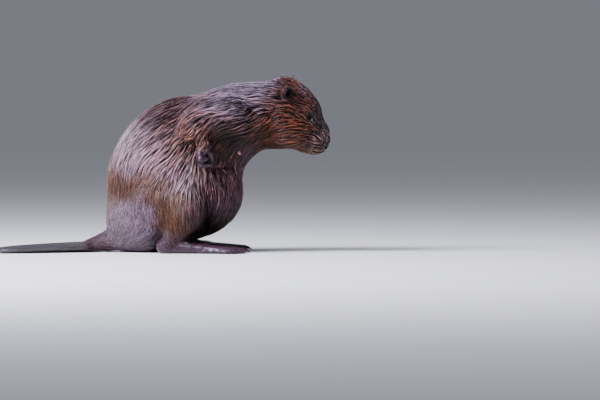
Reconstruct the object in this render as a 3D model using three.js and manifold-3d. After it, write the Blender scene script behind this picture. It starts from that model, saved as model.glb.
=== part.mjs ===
// A Eurasian beaver (Castor fiber), life size, sitting up on its haunches to comb its flanks.
//
// The animal faces +X with its left side at +Y. The origin is under its rump, on the plane z = 0 that
// its seat, its hind feet and its tail rest on. Every size is in millimetres and reaches to the tips of
// the coat. The body is a smooth union of rounded masses, meshed and then parted by thin cuts.
import * as THREE from "three";
import { mergeVertices } from "three/addons/utils/BufferGeometryUtils.js";
import Module from "manifold-3d";

const wasm = await Module();
wasm.setup();

// ---------------------------------------------------------------- driving dimensions
const SEAM = 0.4; // gap of the flat cuts between two parts
const CLEAR = 1.2; // gap where one part grows out of another, wider as both are faceted
const SLIVER = 0.35; // finest detail kept: facets that differ by less are merged
const FAR = 900; // larger than the whole animal

// How softly neighbouring masses run into each other.
const SOFT = { body: 30, neck: 24, tail: 18, head: 16, limb: 14, paw: 5, fist: 10 };

// Edge of one facet, as [x, y, z], for each part's mesh.
const FACET = {
  trunk: [25, 23, 24],
  neck: [21, 20, 21],
  head: [13.2, 12.4, 12.6],
  nose: [7, 6.5, 7],
  tailRoot: [19, 15, 13],
  foreleg: [18, 15, 17],
  forepaw: [6.3, 5.8, 6.2],
  hindleg: [20, 16, 18],
  hindfoot: [11.5, 8, 6.5],
};

const EYE = { at: [342, 41.2, 275], radius: 6.3, rings: 6, sides: 8 };

// ---------------------------------------------------------------- distance fields
// A field gives a point's distance from a surface: below zero inside, above zero outside.

// One rounded mass: an ellipsoid tipped nose-down by `dip` degrees, its front swung to +Y by `swing`.
function mass([cx, cy, cz], [hx, hy, hz], dip = 0, swing = 0) {
  const d = THREE.MathUtils.degToRad(dip);
  const s = THREE.MathUtils.degToRad(swing);
  return (x, y, z) => {
    const ax = (x - cx) * Math.cos(s) + (y - cy) * Math.sin(s);
    const v = (y - cy) * Math.cos(s) - (x - cx) * Math.sin(s);
    const u = ax * Math.cos(d) - (z - cz) * Math.sin(d);
    const w = (z - cz) * Math.cos(d) + ax * Math.sin(d);
    const near = Math.hypot(u / hx, v / hy, w / hz);
    const steep = Math.hypot(u / hx / hx, v / hy / hy, w / hz / hz);
    return steep < 1e-9 ? -Math.min(hx, hy, hz) : (near * (near - 1)) / steep;
  };
}

// A tapered round bar from a to b. `flat` squashes its section in height.
function bar(a, b, ra, rb, flat = 1) {
  const from = new THREE.Vector3(...a);
  const run = new THREE.Vector3(...b).sub(from);
  const p = new THREE.Vector3();
  return (x, y, z) => {
    p.set(x, y, z).sub(from);
    const t = THREE.MathUtils.clamp(p.dot(run) / run.lengthSq(), 0, 1);
    p.addScaledVector(run, -t);
    return (Math.hypot(p.x, p.y, p.z / flat) - THREE.MathUtils.lerp(ra, rb, t)) * flat ** 0.5;
  };
}

// Smooth union of fields, `k` being the width of the blend.
function fuse(k, ...fields) {
  return (x, y, z) => {
    let d = FAR;
    for (const field of fields) {
      const e = field(x, y, z);
      const h = Math.max(k - Math.abs(d - e), 0) / k;
      d = Math.min(d, e) - (h * h * k) / 4;
    }
    return d;
  };
}

// The same mass on both sides of the animal.
function pair([cx, cy, cz], half, dip = 0, swing = 0) {
  return [1, -1].map((side) => mass([cx, side * cy, cz], half, dip, side * swing));
}

const grown = (field, by) => (x, y, z) => field(x, y, z) - by;

// ---------------------------------------------------------------- from fields to solids
// Meshes a field between two corners with one vertex in each crossed cell, pulled onto the surface.
function meshed(field, lo, hi, cell) {
  const n = [0, 1, 2].map((i) => Math.ceil((hi[i] - lo[i]) / cell[i]) + 1);
  const at = (i, j, k) => (k * n[1] + j) * n[0] + i;
  const place = (i, j, k) => [lo[0] + i * cell[0], lo[1] + j * cell[1], lo[2] + k * cell[2]];
  const value = new Float64Array(n[0] * n[1] * n[2]);
  for (let k = 0; k < n[2]; k++)
    for (let j = 0; j < n[1]; j++)
      for (let i = 0; i < n[0]; i++) {
        const edge = [i, j, k].some((v, axis) => v === 0 || v === n[axis] - 1);
        value[at(i, j, k)] = edge ? FAR : field(...place(i, j, k));
      }

  const STEP = [[1, 0, 0], [0, 1, 0], [0, 0, 1]];
  const CORNERS = [0, 1, 2, 3, 4, 5, 6, 7].map((c) => [c & 1, (c >> 1) & 1, c >> 2]);
  const position = [];
  const vertexOf = new Map();
  const vertexIn = (i, j, k) => {
    const key = at(i, j, k);
    if (!vertexOf.has(key)) {
      const sum = new THREE.Vector3();
      let crossings = 0;
      for (const [a, b, c] of CORNERS)
        STEP.forEach(([di, dj, dk], axis) => {
          if ([a, b, c][axis]) return;
          const v0 = value[at(i + a, j + b, k + c)];
          const v1 = value[at(i + a + di, j + b + dj, k + c + dk)];
          if (v0 < 0 === v1 < 0) return;
          const t = v1 === FAR || v0 === FAR ? 0.5 : v0 / (v0 - v1);
          sum.add(new THREE.Vector3(...place(i + a + t * di, j + b + t * dj, k + c + t * dk)));
          crossings++;
        });
      const settled = settle(field, sum.divideScalar(crossings), Math.min(...cell) * 0.45);
      vertexOf.set(key, position.length / 3);
      position.push(settled.x, settled.y, settled.z);
    }
    return vertexOf.get(key);
  };

  const index = [];
  for (let k = 0; k < n[2] - 1; k++)
    for (let j = 0; j < n[1] - 1; j++)
      for (let i = 0; i < n[0] - 1; i++)
        STEP.forEach(([di, dj, dk], axis) => {
          const onBorder = [i, j, k].some((v, other) => other !== axis && v === 0);
          if (onBorder) return;
          const inside = value[at(i, j, k)] < 0;
          if (inside === value[at(i + di, j + dj, k + dk)] < 0) return;
          const u = STEP[(axis + 1) % 3];
          const v = STEP[(axis + 2) % 3];
          const quad = [[0, 0], [1, 0], [1, 1], [0, 1]].map(([a, b]) =>
            vertexIn(i - a * u[0] - b * v[0], j - a * u[1] - b * v[1], k - a * u[2] - b * v[2]),
          );
          if (!inside) quad.reverse();
          index.push(quad[0], quad[1], quad[2], quad[0], quad[2], quad[3]);
        });
  return solid(new THREE.BufferGeometry()
    .setAttribute("position", new THREE.Float32BufferAttribute(position, 3))
    .setIndex(index));
}

// Walks a point down the field's slope to the surface, no further than `reach`.
function settle(field, start, reach) {
  const p = start.clone();
  const e = 0.05;
  for (let turn = 0; turn < 3; turn++) {
    const d = field(p.x, p.y, p.z);
    const slope = new THREE.Vector3(
      field(p.x + e, p.y, p.z) - field(p.x - e, p.y, p.z),
      field(p.x, p.y + e, p.z) - field(p.x, p.y - e, p.z),
      field(p.x, p.y, p.z + e) - field(p.x, p.y, p.z - e),
    ).divideScalar(2 * e);
    p.addScaledVector(slope, -d / Math.max(slope.lengthSq(), 0.05));
  }
  const moved = p.sub(start);
  return start.clone().add(moved.clampLength(0, reach));
}

// A closed three.js geometry as a manifold-3d solid.
function solid(geometry) {
  const bare = geometry.clone();
  bare.deleteAttribute("normal");
  bare.deleteAttribute("uv");
  const merged = mergeVertices(bare, 1e-3);
  return new wasm.Manifold(new wasm.Mesh({
    numProp: 3,
    vertProperties: merged.attributes.position.array,
    triVerts: new Uint32Array(merged.index.array),
  }));
}

// Everything beyond a plane, as a very large box.
function beyond(point, normal) {
  const box = new THREE.BoxGeometry(2 * FAR, 2 * FAR, 2 * FAR).translate(0, 0, FAR);
  const turn = new THREE.Quaternion()
    .setFromUnitVectors(new THREE.Vector3(0, 0, 1), new THREE.Vector3(...normal).normalize());
  return solid(box.applyQuaternion(turn).translate(...point));
}

// A plane that parts two neighbours. `front` keeps what is ahead of it and `back` what is behind.
function seam(point, normal) {
  const n = new THREE.Vector3(...normal).normalize();
  const shifted = (by) => new THREE.Vector3(...point).addScaledVector(n, by).toArray();
  return {
    front: beyond(shifted(SEAM / 2), n.toArray()),
    back: beyond(shifted(-SEAM / 2), n.clone().negate().toArray()),
  };
}

// The largest piece of a solid, as a cut can leave a crumb behind, with its finest slivers merged.
function largest(made) {
  const pieces = made.decompose();
  return pieces.reduce((a, b) => (b.volume() > a.volume() ? b : a)).simplify(SLIVER);
}

// ---------------------------------------------------------------- the body and its masses
const bodyMasses = {
  rump: mass([3, 0, 74], [98, 112, 82]),
  loin: mass([22, 0, 174], [104, 110, 116]),
  back: mass([67, 0, 214], [108, 101, 114]),
  belly: mass([80, 0, 130], [118, 112, 104]),
  chest: mass([132, 0, 238], [92, 88, 96]),
  neckBase: mass([182, 0, 276], [80, 78, 80]),
  nape: mass([232, 0, 288], [72, 68, 71]),
};
const shoulders = pair([126, 66, 276], [52, 32, 46], 20);

const headMasses = {
  cranium: mass([283, 0, 300], [69, 63, 69]),
  brow: mass([322, 0, 284], [40, 46, 44], 20),
  muzzle: mass([340, 0, 249], [32, 41, 36], 60),
  chin: mass([326, 0, 222], [30, 24, 15], 12),
  throat: mass([276, 0, 248], [44, 46, 34]),
};
const cheeks = pair([294, 33, 263], [47, 34, 46], 35);
const lips = pair([349, 18, 229], [21, 22, 20]);

const TAIL = {
  start: [-58, 0, 24],
  length: 262,
  sweep: 58, // degrees that it swings towards the right side along its length
  neckWidth: 35, // half width just before the scales
  widest: 0.45, // how far along the blade it is widest
  rootWidth: 48,
  rootHeight: 27,
  bladeFrom: 70, // where the fur ends and the scales begin
  bladeWidth: 56,
  bladeHeight: [12, 7.5], // where the scales begin, and at the tip
  sunk: 1.2, // how far its underside is pressed flat
};

// The tail's centre line in plan at `s` millimetres from its start, with its half width and half height.
function tailStation(s) {
  const bend = THREE.MathUtils.degToRad(TAIL.sweep) * (s / TAIL.length) ** 1.5;
  const mean = bend / 2.5;
  const t = THREE.MathUtils.clamp((s - TAIL.bladeFrom) / (TAIL.length - TAIL.bladeFrom), 0, 1);
  const ease = THREE.MathUtils.smoothstep(s, 0, TAIL.bladeFrom);
  const oval = Math.max(1 - ((t - TAIL.widest) / (1 - TAIL.widest)) ** 2, 0.03) ** 0.4;
  const opening = THREE.MathUtils.smoothstep(s, TAIL.bladeFrom - 30, TAIL.bladeFrom + 75);
  const blade = THREE.MathUtils.lerp(TAIL.neckWidth, TAIL.bladeWidth, opening);
  return {
    x: TAIL.start[0] - s * Math.cos(mean),
    y: -s * Math.sin(mean),
    width: THREE.MathUtils.lerp(TAIL.rootWidth, blade, ease) * (t > TAIL.widest ? oval : 1),
    height: THREE.MathUtils.lerp(TAIL.rootHeight, THREE.MathUtils.lerp(...TAIL.bladeHeight, t), ease),
  };
}

// The tail: a furred root that flattens into a broad, scaly blade.
const TAIL_STEPS = 13;
const tailStations = Array.from({ length: TAIL_STEPS + 1 }, (_, i) =>
  tailStation((TAIL.length * i) / TAIL_STEPS),
);
function tailField(x, y, z) {
  let best = FAR;
  for (let i = 0; i < TAIL_STEPS; i++) {
    const [a, b] = [tailStations[i], tailStations[i + 1]];
    const run = [b.x - a.x, b.y - a.y];
    const along = ((x - a.x) * run[0] + (y - a.y) * run[1]) / (run[0] ** 2 + run[1] ** 2);
    const t = THREE.MathUtils.clamp(along, 0, 1);
    const width = THREE.MathUtils.lerp(a.width, b.width, t);
    const height = THREE.MathUtils.lerp(a.height, b.height, t);
    const side = Math.hypot(x - a.x - t * run[0], y - a.y - t * run[1]);
    const rise = z - height + TAIL.sunk;
    const near = Math.hypot(side / width, rise / height);
    const steep = Math.hypot(side / width ** 2, rise / height ** 2);
    best = Math.min(best, steep < 1e-9 ? -height : (near * (near - 1)) / steep);
  }
  return best;
}

// The scaly blade as a solid, lofted through elliptical sections.
const BLADE = { rings: 12, sides: 16 };
const blade = (() => {
  const position = [];
  const index = [];
  for (let i = 0; i <= BLADE.rings; i++) {
    const t = Math.sin((Math.PI / 2) * (i / BLADE.rings));
    const s = THREE.MathUtils.lerp(TAIL.bladeFrom - 25, TAIL.length, t);
    const [here, next] = [tailStation(s), tailStation(s + 1)];
    const across = new THREE.Vector3(here.y - next.y, next.x - here.x, 0).normalize();
    for (let j = 0; j < BLADE.sides; j++) {
      const turn = (2 * Math.PI * j) / BLADE.sides;
      const side = here.width * Math.cos(turn);
      const rise = here.height * (1 + Math.sin(turn)) - TAIL.sunk;
      position.push(here.x + across.x * side, here.y + across.y * side, rise);
      if (i === 0) continue;
      const [a, b] = [(i - 1) * BLADE.sides + j, (i - 1) * BLADE.sides + ((j + 1) % BLADE.sides)];
      index.push(a, b, a + BLADE.sides, b, b + BLADE.sides, a + BLADE.sides);
    }
  }
  const last = BLADE.rings * BLADE.sides;
  for (let j = 1; j < BLADE.sides - 1; j++) index.push(0, j + 1, j, last, last + j, last + j + 1);
  const loft = new THREE.BufferGeometry()
    .setAttribute("position", new THREE.Float32BufferAttribute(position, 3))
    .setIndex(index);
  return solid(loft);
})();

// Limbs are written for the left side and mirrored to the right.
const hindleg = fuse(SOFT.limb,
  mass([32, 84, 98], [74, 44, 64], 14), // thigh
  mass([74, 98, 92], [44, 34, 50], -12), // knee
  bar([70, 106, 70], [46, 112, 26], 34, 20), // shank down to the heel
);
const HINDFOOT = {
  heel: [34, 110, 15],
  toes: [
    // each toe's root and tip, inner toe first
    [[112, 92, 10], [168, 78, 6]],
    [[116, 100, 11], [188, 94, 6]],
    [[118, 108, 11], [198, 112, 6]],
    [[116, 117, 11], [192, 131, 6]],
    [[108, 126, 10], [172, 147, 6]],
  ],
  toeRadius: [8, 5.5],
  clawLength: 14,
  webHeight: 2.4,
};
const hindfoot = (() => {
  const [root, tip] = HINDFOOT.toeRadius;
  const sole = HINDFOOT.toes.map(([a]) => bar(HINDFOOT.heel, a, 15, 9, 0.95));
  const toes = HINDFOOT.toes.map(([a, b]) => bar(a, b, root, tip));
  const claws = HINDFOOT.toes.map(([a, b]) => {
    const along = new THREE.Vector3(...b).sub(new THREE.Vector3(...a)).normalize();
    const end = new THREE.Vector3(...b).addScaledVector(along, HINDFOOT.clawLength).setZ(3.5);
    return bar(b, end.toArray(), 4, 2.6);
  });
  const webs = HINDFOOT.toes.slice(1).map(([a1, b1], i) => {
    const [a0, b0] = HINDFOOT.toes[i];
    const strips = [0.15, 0.4, 0.65, 0.85].map((t) => {
      const mix = (p, q) => p.map((v, axis) => THREE.MathUtils.lerp(v, q[axis], t));
      const [m0, m1] = [mix(a0, b0), mix(a1, b1)];
      return bar([m0[0], m0[1], 4.5], [m1[0], m1[1], 4.5], 9, 9, 0.5);
    });
    return fuse(3, ...strips);
  });
  return fuse(SOFT.paw, ...sole, ...toes, ...claws, ...webs);
})();

const FORELEG = { shoulder: [166, 64, 290], elbow: [92, 97, 264], wrist: [117, 108, 226] };
const foreleg = fuse(SOFT.limb,
  bar(FORELEG.shoulder, FORELEG.elbow, 40, 26),
  bar(FORELEG.elbow, FORELEG.wrist, 24, 14),
);
const FOREPAW = {
  palm: [[119, 108, 226], [108, 112, 208]],
  palmRadius: [13, 11.5],
  // each finger's knuckle, middle joint, tip and claw's end: the thumb, then inner to outer
  fingers: [
    [[121, 103, 214], [128, 105, 206], [131, 104, 198], [131, 102, 192]],
    [[112, 99, 207], [117, 98, 191], [129, 97, 193], [135, 96, 198]],
    [[107, 106, 207], [113, 106, 185], [128, 103, 188], [134, 101, 193]],
    [[104, 113, 207], [110, 114, 184], [127, 110, 184], [134, 108, 188]],
    [[107, 120, 207], [109, 123, 195], [119, 119, 196], [125, 117, 199]],
  ],
  fingerRadius: [7.2, 6.6, 5, 2.8],
};
const forepaw = fuse(SOFT.fist,
  bar(...FOREPAW.palm, ...FOREPAW.palmRadius),
  ...FOREPAW.fingers.flatMap((joints) => joints.slice(1).map((end, n) => (
    bar(joints[n], end, FOREPAW.fingerRadius[n], FOREPAW.fingerRadius[n + 1])
  ))),
);

const EAR = {
  lobe: { at: [290, 57, 332], half: [12.5, 6.5, 15.5] },
  cup: { at: [293, 64.5, 334], half: [8.5, 6.5, 11] },
  dip: 25,
  swing: -15,
  sides: 11,
  rings: 7,
};

const nose = fuse(4,
  mass([366, 0, 236], [14, 18, 14], 55),
  ...pair([365, 14, 226], [10, 9, 9], 30),
);

// ---------------------------------------------------------------- the parts
const body = fuse(SOFT.body, ...Object.values(bodyMasses), ...shoulders);
const headField = fuse(SOFT.head, ...Object.values(headMasses), ...cheeks, ...lips);
const whole = fuse(SOFT.tail, fuse(SOFT.neck, body, headField), tailField);
const hindLimb = fuse(SOFT.paw, hindleg, hindfoot);
const foreLimb = fuse(SOFT.paw, foreleg, forepaw);

const SEAMS = {
  floor: { front: beyond([0, 0, 0], [0, 0, 1]) },
  neck: seam([180, 0, 280], [0.88, 0, 0.47]),
  head: seam([247, 0, 290], [0.98, 0, 0.18]),
  rump: seam([-86, 0, 45], [-0.8, 0, -0.6]),
  tail: seam([-136, 0, 20], [-1, 0, 0]),
  ankle: seam([0, 0, 30], [0, 0, -1]),
  wrist: seam([0, 0, 224], [0, 0, -1]),
};

const solids = {}; // the finished parts by name
const skins = {}; // each part block grown by the clearance, which its neighbours are cut back from

// Meshes a field into a part, keeps what is ahead of each cut and clears it of its neighbours.
// A part of the right side (side = -1) is the mirror of the left one's mesh.
function part(name, facet, field, [lo, hi], cuts, neighbours = [], side = 1) {
  const block = (f) => {
    const made = meshed(f, lo, hi, FACET[facet]).intersect(SEAMS.floor.front);
    return side > 0 ? made : made.mirror([0, 1, 0]);
  };
  skins[name] = block(grown(field, CLEAR));
  const cut = cuts.reduce((made, plane) => made.intersect(plane), block(field));
  solids[name] = largest(neighbours.reduce((made, other) => made.subtract(skins[other]), cut));
}

part("trunk", "trunk", whole, [[-118, -140, -20], [250, 140, 400]], [SEAMS.neck.back, SEAMS.rump.back]);
part("neck", "neck", whole, [[130, -110, 190], [290, 110, 390]], [SEAMS.neck.front, SEAMS.head.back]);
part("head", "head", whole, [[225, -80, 190], [396, 80, 384]], [SEAMS.head.front]);
part("nose", "nose", nose, [[345, -30, 210], [392, 30, 262]], [], ["head"]);
part("tail_root", "tailRoot", whole, [[-170, -80, -20], [-40, 80, 120]], [SEAMS.rump.front, SEAMS.tail.back]);
solids.tail = blade.intersect(SEAMS.floor.front).intersect(SEAMS.tail.front);

for (const [name, side] of [["left", 1], ["right", -1]]) {
  const limb = (node, field, cut, box) =>
    part(`${node}_${name}`, node, field, box, [cut], ["trunk", "neck", "tail_root"], side);
  limb("hindleg", hindLimb, SEAMS.ankle.back, [[-70, 20, 8], [140, 170, 200]]);
  limb("hindfoot", hindLimb, SEAMS.ankle.front, [[6, 58, -8], [226, 170, 44]]);
  limb("foreleg", foreLimb, SEAMS.wrist.back, [[54, 24, 200], [218, 160, 340]]);
  limb("forepaw", foreLimb, SEAMS.wrist.front, [[80, 84, 170], [150, 150, 240]]);

  const egg = ({ at: [x, y, z], half }) => solid(new THREE.SphereGeometry(1, EAR.sides, EAR.rings)
    .rotateX(Math.PI / 2)
    .scale(...half)
    .rotateY(THREE.MathUtils.degToRad(EAR.dip))
    .rotateZ(THREE.MathUtils.degToRad(side * EAR.swing))
    .translate(x, side * y, z));
  solids["ear_" + name] = largest(egg(EAR.lobe).subtract(egg(EAR.cup)).subtract(skins.head));

  const [ex, ey, ez] = EYE.at;
  const ball = (r) => solid(new THREE.SphereGeometry(r, EYE.sides, EYE.rings).translate(ex, side * ey, ez));
  solids["eye_" + name] = ball(EYE.radius);
  solids.head = solids.head.subtract(ball(EYE.radius + SEAM));
}

const FUR = { color: 0x5a4038, roughness: 0.75 };
const SKIN = { color: 0x2c2428, roughness: 0.5 };
const FINISH = {
  eye: { color: 0x0c0808, roughness: 0.08 },
  nose: SKIN, ear: SKIN, tail: SKIN, forepaw: SKIN, hindfoot: SKIN,
};

const root = new THREE.Group();
for (const [name, made] of Object.entries(solids)) {
  const { vertProperties, triVerts, numProp } = made.getMesh();
  if (numProp !== 3) throw new Error("positions only");
  const geometry = new THREE.BufferGeometry()
    .setAttribute("position", new THREE.BufferAttribute(vertProperties, 3))
    .setIndex(new THREE.BufferAttribute(triVerts, 1));
  const finish = FINISH[name] ?? FINISH[name.replace(/_(left|right)$/, "")] ?? FUR;
  const mesh = new THREE.Mesh(geometry, new THREE.MeshStandardMaterial({ ...finish, metalness: 0 }));
  mesh.name = name;
  root.add(mesh);
}
export default root;
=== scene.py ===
"""A life-size Eurasian beaver, sitting up on its haunches with a wet coat, on a pale studio floor.

The animal faces +X. Fields and places are in millimetres, and meshes are turned to metres when made.
"""

import bpy
import numpy as np
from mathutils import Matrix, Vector, kdtree


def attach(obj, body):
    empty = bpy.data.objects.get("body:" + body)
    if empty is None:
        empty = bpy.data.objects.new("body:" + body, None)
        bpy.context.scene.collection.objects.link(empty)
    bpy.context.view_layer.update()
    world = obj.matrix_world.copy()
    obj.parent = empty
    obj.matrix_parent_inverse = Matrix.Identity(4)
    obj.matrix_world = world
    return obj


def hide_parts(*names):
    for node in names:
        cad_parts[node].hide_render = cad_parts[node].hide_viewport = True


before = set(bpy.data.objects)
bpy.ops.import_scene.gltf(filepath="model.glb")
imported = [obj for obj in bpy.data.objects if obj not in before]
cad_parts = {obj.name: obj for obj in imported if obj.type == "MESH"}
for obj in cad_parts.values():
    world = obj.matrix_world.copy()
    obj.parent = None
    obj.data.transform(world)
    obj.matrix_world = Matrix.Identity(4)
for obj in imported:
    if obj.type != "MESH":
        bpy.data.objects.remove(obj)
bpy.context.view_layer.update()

# ---------------------------------------------------------------- the hide
# A beaver's hide: one loose, tough skin from the nose pad to the tail's tip, with the body's masses
# under it. It lies inside the coat by the coat's depth, and it is bare on nose, paws, feet and tail.
# Each mass is a field: a function that gives points' distances from its surface, below 0 inside.


def mass(centre, half, dip=0, swing=0):
    """A rounded mass, tipped nose-down by dip degrees, its front swung to +Y by swing."""
    d, s = np.radians([dip, swing])
    turn = np.array([[np.cos(s) * np.cos(d), np.sin(s) * np.cos(d), -np.sin(d)],
                     [-np.sin(s), np.cos(s), 0],
                     [np.cos(s) * np.sin(d), np.sin(s) * np.sin(d), np.cos(d)]])
    centre, half = np.array(centre, float), np.array(half, float)

    def field(p):
        q = (p - centre) @ turn.T / half
        near = np.sqrt(np.einsum("ij,ij->i", q, q))
        q /= half
        return near * (near - 1) / np.maximum(np.sqrt(np.einsum("ij,ij->i", q, q)), 1e-9)
    return field


def join(k, d, e):
    """Smooth union of two distances, k being the width of the blend."""
    h = np.maximum(k - np.abs(d - e), 0) / k
    return np.minimum(d, e) - h * h * k / 4


def fuse(k, *fields):
    """Several masses joined in one."""
    def field(p):
        d = fields[0](p)
        for other in fields[1:]:
            d = join(k, d, other(p))
        return d
    return field


def pair(centre, half, dip=0, swing=0):
    """The same mass on the left and on the right."""
    x, y, z = centre
    return mass((x, y, z), half, dip, swing), mass((x, -y, z), half, dip, -swing)


trunk = fuse(
    30,
    mass((3, 0, 74), (98, 112, 82)),  # rump
    mass((22, 0, 174), (104, 110, 116)),  # loin
    mass((-4, 0, 142), (88, 84, 84)),  # small of the back
    mass((67, 0, 214), (108, 101, 114)),  # back
    mass((80, 0, 130), (118, 112, 104)),  # belly
    mass((132, 0, 238), (92, 88, 96)),  # chest
    mass((182, 0, 276), (80, 78, 80)),  # base of the neck
    mass((232, 0, 288), (72, 68, 71)),  # nape
    *pair((126, 66, 276), (52, 32, 46), 20),  # shoulders
)
skull = fuse(
    16,
    mass((283, 0, 300), (69, 63, 69)),  # cranium
    mass((322, 0, 284), (40, 46, 44), 20),  # brow
    mass((340, 0, 249), (32, 41, 36), 60),  # muzzle
    mass((326, 0, 222), (30, 24, 15), 12),  # chin
    mass((276, 0, 248), (44, 46, 34)),  # throat
    *pair((294, 33, 263), (47, 34, 46), 35),  # cheeks
    *pair((349, 18, 229), (21, 22, 20)),  # lips
    mass((358, 0, 251), (14, 20, 10)),  # end of the snout
    mass((352, 0, 221), (17, 21, 9)),  # front of the upper lip
)
nose_pad = fuse(
    5,
    mass((366, 0, 236), (14, 15, 14), 60),  # tip
    *pair((364, 11, 225), (11, 8.5, 10), 30),  # wings
    mass((363, 0, 224), (13, 12, 11)),  # foot
)

FAR = 900.0  # the distance given for what is nowhere near
TAIL_START = np.array([-58.0, 0.0])
TAIL_LENGTH = 262
TAIL_SWEEP = 58  # degrees that the tail turns to the animal's right
SCALES_FROM = 70  # from its start, where the furred root ends and the scaly blade begins


def ease(x, lo, hi):
    """0 up to lo, 1 from hi on, and a smooth rise between."""
    t = np.clip((x - lo) / (hi - lo), 0, 1)
    return t * t * (3 - 2 * t)


def tail_station(s):
    """Centre in plan, half width and half height of the tail, s millimetres from its start."""
    mean = np.radians(TAIL_SWEEP) * (s / TAIL_LENGTH) ** 1.5 / 2.5
    t = np.clip((s - SCALES_FROM) / (TAIL_LENGTH - SCALES_FROM), 0, 1)
    grown = ease(s, 0, SCALES_FROM)
    oval = np.maximum(1 - ((t - 0.45) / 0.55) ** 2, 0.03) ** 0.4 if t > 0.45 else 1.0
    blade = 35 + 21 * ease(s, SCALES_FROM - 30, SCALES_FROM + 75)
    centre = TAIL_START - s * np.array([np.cos(mean), np.sin(mean)])
    return centre, (48 + (blade - 48) * grown) * oval, 27 + (12 - 4.5 * t - 27) * grown


def tail(p):
    best = np.full(len(p), FAR)
    stations = [tail_station(s) for s in np.linspace(0, TAIL_LENGTH, 27)]
    for (a, wa, ha), (b, wb, hb) in zip(stations, stations[1:]):
        run = b - a
        t = np.clip((p[:, :2] - a) @ run / (run @ run), 0, 1)
        side = np.linalg.norm(p[:, :2] - a - t[:, None] * run, axis=1)
        width, height = wa + (wb - wa) * t, ha + (hb - ha) * t
        rise = p[:, 2] - height + 1.2
        near = np.hypot(side / width, rise / height)
        steep = np.hypot(side / width ** 2, rise / height ** 2)
        best = np.minimum(best, near * (near - 1) / np.maximum(steep, 1e-6))
    return best


def bar(a, b, ra, rb, flat=1):
    """A tapered round bar from a to b. flat squashes its section in height."""
    a, run = np.array(a, float), np.array(b, float) - np.array(a, float)

    def field(p):
        q = p - a
        t = np.clip(q @ run / (run @ run), 0, 1)
        q = q - t[:, None] * run
        q[:, 2] /= flat
        return (np.sqrt(np.einsum("ij,ij->i", q, q)) - ra - (rb - ra) * t) * flat ** 0.5
    return field


thigh = fuse(
    14,
    mass((32, 84, 98), (74, 44, 64), 14),
    mass((74, 98, 92), (44, 34, 50), -12),  # knee
    bar((70, 106, 70), (46, 112, 26), 34, 20),  # shank
)
HEEL = (34, 110, 15)
TOES = [  # each hind toe's root and tip, inner toe first
    ((112, 92, 10), (168, 78, 6)),
    ((116, 100, 11), (188, 94, 6)),
    ((118, 108, 11), (198, 112, 6)),
    ((116, 117, 11), (192, 131, 6)),
    ((108, 126, 10), (172, 147, 6)),
]


def web(first, second):
    """The skin stretched between two toes, in strips."""
    strips = []
    for t in (0.15, 0.4, 0.65, 0.85):
        ends = [np.array(a) + (np.array(b) - np.array(a)) * t for a, b in (first, second)]
        strips.append(bar((*ends[0][:2], 4.5), (*ends[1][:2], 4.5), 9, 9, 0.42))
    return fuse(3, *strips)


hind_foot = fuse(
    5,
    *[bar(HEEL, a, 15, 9, 0.95) for a, b in TOES],
    *[bar(a, b, 8, 5.5) for a, b in TOES],
    *[web(one, two) for one, two in zip(TOES, TOES[1:])],
)
WRIST = (117, 108, 226)
SHOULDER = (166, 64, 290)
ELBOW = (92, 97, 264)
arm = fuse(14, bar(SHOULDER, ELBOW, 40, 26), bar(ELBOW, WRIST, 24, 14))
PALM = ((119, 108, 226), (108, 112, 208))
FINGERS = [  # each finger's knuckle, middle joint and tip: the thumb, then inner to outer
    ((121, 103, 214), (128, 105, 206), (131, 104, 198)),
    ((112, 99, 207), (117, 98, 191), (129, 97, 193)),
    ((107, 106, 207), (113, 106, 185), (128, 103, 188)),
    ((104, 113, 207), (110, 114, 184), (127, 110, 184)),
    ((107, 120, 207), (109, 123, 195), (119, 119, 196)),
]
fore_paw = fuse(
    2.2,
    bar(*PALM, 12.5, 11),
    *[bar(a, b, 6.6, 6.8) for a, b, c in FINGERS],  # swollen at the middle joint
    *[bar(b, c, 6.8, 4.6) for a, b, c in FINGERS],
)
EAR = (290, 57, 332)
ear_lobe = mass(EAR, (12, 7.5, 14.2), 25, -15)
ear_cup = mass((294.5, 67, 331.5), (8.2, 9.5, 10), 25, -15)


def within(lo, hi, field, margin=26):
    """The field near a box, and a far distance elsewhere, which saves time."""
    lo, hi = np.array(lo, float) - margin, np.array(hi, float) + margin

    def boxed(p):
        out = np.full(len(p), FAR)
        near = ((p > lo) & (p < hi)).all(1)
        if near.any():
            out[near] = field(p[near])
        return out
    return boxed


NOSE_TIP = np.array([372.0, 0, 232])
trunk_near = within((-118, -130, -12), (262, 130, 372), trunk)
skull_near = within((205, -80, 190), (384, 80, 376), skull)
tail_near = within((-330, -170, -6), (-20, 70, 60), tail)
thigh_near = within((-50, 30, 0), (126, 150, 172), thigh)
foot_near = within((15, 60, -4), (210, 160, 32), hind_foot)
arm_near = within((56, 20, 204), (212, 130, 336), arm)
paw_near = within((92, 92, 178), (140, 126, 244), fore_paw)
ear_near = within((272, 44, 312), (308, 74, 352), ear_lobe)
nose_near = within((350, -26, 214), (382, 26, 252), nose_pad)


def thread(*points):
    """A thin line through points in space, as a field."""
    return fuse(0.1, *[bar(a, b, 0, 0) for a, b in zip(points, points[1:])])


def groove(width, depth, *points):
    """A groove along a line of points in space."""
    line = thread(*points)
    return lambda q: depth * np.exp(-(line(q) / width) ** 2)


def crease(width, depth, *points):
    """A fold down the animal's side, along a line of points given by x and z."""
    line = groove(width, depth, *[(x, 0, z) for x, z in points])
    return lambda q: line(q * (1, 0, 1)) * ease(q[:, 1], 24, 60)


def hollow(at, half, depth):
    """A shallow hollow in the animal's side, centred at x and z."""
    def sink(q):
        off = ((q[:, ::2] - at) / half) ** 2
        return depth * np.exp(-off.sum(1) ** 1.5) * ease(q[:, 1], 20, 55)
    return sink


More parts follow.
